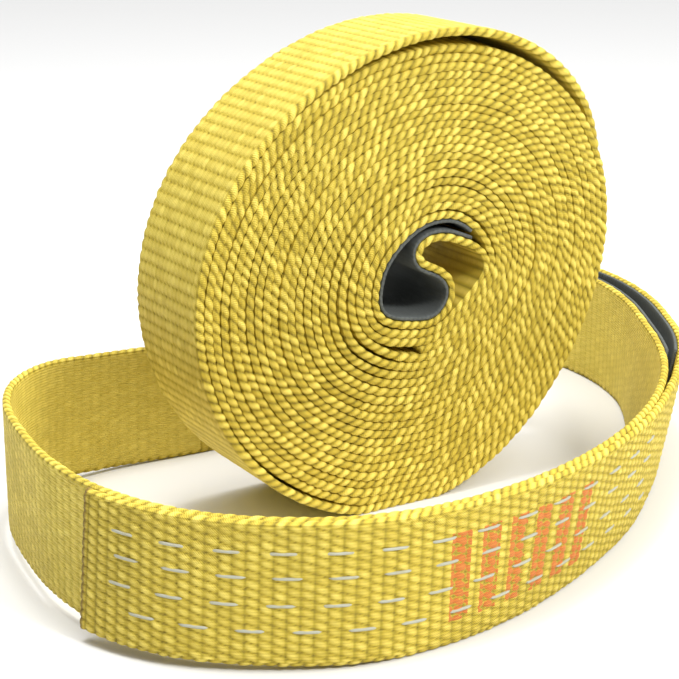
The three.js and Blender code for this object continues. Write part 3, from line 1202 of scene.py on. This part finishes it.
def tubes_object(name: str, vertices: Array) -> bpy.types.Object:
    """Makes many closed tubes at once.

    Args:
        name: the object's name.
        vertices: an array of tubes by stations by ring points by 3, in metres.

    Returns:
        One object, with a fan of quads closed at each tube's ends.
    """
    tubes, stations, count, _ = vertices.shape
    last = (stations - 1) * count
    half = count // 2
    strip = np.arange(half - 1)
    cap = np.stack([strip, strip + 1, count - 2 - strip, count - 1 - strip], -1)
    quads = np.concatenate([ring_quads(stations, count), cap, last + cap[:, ::-1]])
    offsets = np.arange(tubes)[:, None, None] * stations * count
    return grid_object(name, vertices.reshape(-1, 3), (quads[None] + offsets).reshape(-1, 4), 0, {})


@dataclass
class Studio:
    """A pale floor, soft lights and the camera at the photograph's angle."""

    focal_pixels: float = 1841.0
    image_pixels: float = 679.0
    sensor: float = 36.0
    position: tuple = (-0.37894, -0.58780, 0.276)
    bearing: float = 31.4
    dip: float = 17.1
    zenith: float = 2.1
    horizon: float = 0.08
    right_share: float = 0.85
    floor_reach: float = 4.0
    floor_colour: tuple = (0.72, 0.72, 0.715)
    aim: tuple = (0, 0, 0.08)
    lamps: tuple = (("key", (0.3, -1.0, 0.95), 0.3, 13), ("top", (-0.15, 0.05, 1.4), 0.5, 15))

    def camera(self) -> None:
        """Places the camera: it looks along its bearing from +Y towards +X, and down by its dip."""
        bearing, dip = math.radians(self.bearing), math.radians(self.dip)
        forward = Vector((math.sin(bearing) * math.cos(dip), math.cos(bearing) * math.cos(dip),
                          -math.sin(dip)))
        right = Vector((math.cos(bearing), -math.sin(bearing), 0))
        up = right.cross(forward)
        data = bpy.data.cameras.new("camera")
        data.sensor_width = self.sensor
        data.sensor_fit = "HORIZONTAL"
        data.lens = self.focal_pixels / self.image_pixels * self.sensor
        data.clip_start = 0.01
        camera = bpy.data.objects.new("camera", data)
        rotation = Matrix((right, up, -forward)).transposed().to_4x4()
        camera.matrix_world = Matrix.Translation(Vector(self.position)) @ rotation
        bpy.context.scene.collection.objects.link(camera)
        bpy.context.scene.camera = camera

    def floor(self) -> None:
        """A wide pale floor."""
        corners = np.array([(-1, -1, 0), (1, -1, 0), (1, 1, 0), (-1, 1, 0)]) * self.floor_reach
        floor = grid_object("floor", corners, np.array([[0, 1, 2, 3]]), 0, {})
        material = bpy.data.materials.new("pale_floor")
        material.use_nodes = True
        shader = material.node_tree.nodes["Principled BSDF"]
        shader.inputs["Base Color"].default_value = (*self.floor_colour, 1)
        shader.inputs["Roughness"].default_value = 0.9
        floor.data.materials.append(material)

    def light(self, name: str, place: tuple, size: float, power: float) -> None:
        """A square area light that faces the strap."""
        data = bpy.data.lights.new(name, "AREA")
        data.size = size
        data.energy = power
        lamp = bpy.data.objects.new(name, data)
        lamp.location = place
        lamp.rotation_euler = (Vector(self.aim) - Vector(place)).to_track_quat("-Z", "Y").to_euler()
        bpy.context.scene.collection.objects.link(lamp)

    def world(self) -> None:
        """A surround that is bright overhead and on the right, and dim near the horizon."""
        world = bpy.data.worlds.new("surround")
        world.use_nodes = True
        sheet = NodeSheet(world.node_tree)
        output = sheet.add("ShaderNodeOutputWorld")
        background = sheet.add("ShaderNodeBackground")
        direction = sheet.add("ShaderNodeTexCoord").outputs["Generated"]
        split = sheet.add("ShaderNodeSeparateXYZ")
        sheet.link(direction, split.inputs[0])
        height = sheet.math("MAXIMUM", split.outputs["Z"], 0.0)
        strength = sheet.math("MULTIPLY", sheet.math("POWER", height, 1.5), self.zenith)
        right = sheet.math("MULTIPLY", split.outputs["X"], self.right_share)
        strength = sheet.math("MULTIPLY", strength, sheet.math("ADD", right, 1.0))
        sheet.link(sheet.math("ADD", strength, self.horizon), background.inputs["Strength"])
        sheet.link(background.outputs[0], output.inputs[0])
        bpy.context.scene.world = world

    def build(self) -> None:
        """Sets up the camera, floor and lights."""
        self.camera()
        self.floor()
        self.world()
        for lamp in self.lamps:
            self.light(*lamp)
        bpy.context.scene.view_settings.view_transform = "Standard"


def main() -> None:
    """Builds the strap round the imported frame."""
    logging.basicConfig(level=logging.INFO, format="%(name)s: %(message)s")
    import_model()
    Studio().build()
    yarn_group()
    wear_group()
    route = StrapRoute()
    lines = laid_out(route)
    LOG.info("strap length %.3f m", lines.line.reach()[-1] * METRES)
    Webbing(route, lines).build()
    WearPads(lines).build()
    stitches = LapStitching(route, lines).build()
    dress(stitches, ThreadFinish().material())


if __name__ == "__main__":
    main()
